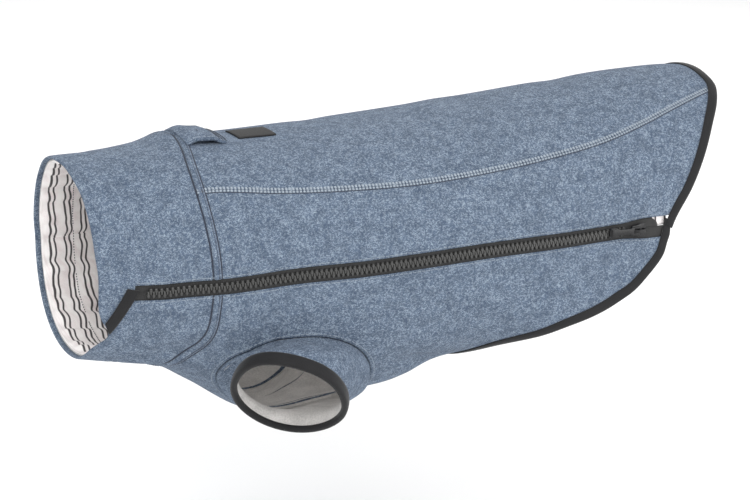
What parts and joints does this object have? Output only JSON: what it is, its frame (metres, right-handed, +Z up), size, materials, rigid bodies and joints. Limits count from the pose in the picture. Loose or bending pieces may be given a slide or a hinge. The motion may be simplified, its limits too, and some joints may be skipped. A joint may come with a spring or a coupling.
{
  "type": "dog sweater",
  "caption": "Short-sleeved dog sweater of blue heathered fleece knit with a side zip, stand collar with striped lining, and dark bindings.",
  "frame": {"origin": "on the inner face of the back panel, on the spine, halfway between the collar's rim and the rear end of the hem: where the wearer's back holds the sweater up", "axes": "+X along the body towards the tail, +Y the wearer's right, +Z up; the zip is on the -Y side"},
  "size_m": [0.4426, 0.2206, 0.1886],
  "materials": {
    "blue_knit": "heathered blue knit, brushed inside",
    "striped_lining": "cream lining with thin dark stripes",
    "black_binding": "folded black binding",
    "black_tape": "woven black zip tape",
    "black_moulding": "moulded zip chain",
    "black_enamel": "black enamel on zinc",
    "bare_patch": "plain dark woven patch"
  },
  "bodies": {
    "garment": {"back_panel": "blue_knit", "side_panel_left": "blue_knit", "side_panel_right": "blue_knit", "chest_panel": "blue_knit", "sleeve_left": "blue_knit", "sleeve_right": "blue_knit", "cuff_binding_left": "black_binding", "cuff_binding_right": "black_binding", "collar": "blue_knit", "collar_lining": "striped_lining", "hem_binding": "black_binding", "zip_tape_upper": "black_tape", "zip_tape_lower": "black_tape", "zip_chain": "black_moulding", "zip_slider": "black_enamel", "zip_end_strip": "black_binding", "zip_facing": "striped_lining", "loop_tab": "blue_knit", "back_patch": "bare_patch"},
    "pull_tab": {"zip_pull_tab": "black_enamel"}
  },
  "joints": [
    {"name": "pull_tab_hinge", "type": "hinge", "parent": "garment", "child": "pull_tab", "pos_m": [0.10645, -0.08437, -0.07107], "axis": [0.0376, 0.0312, 0.9988], "range_deg": [0, 155]}
  ]
}
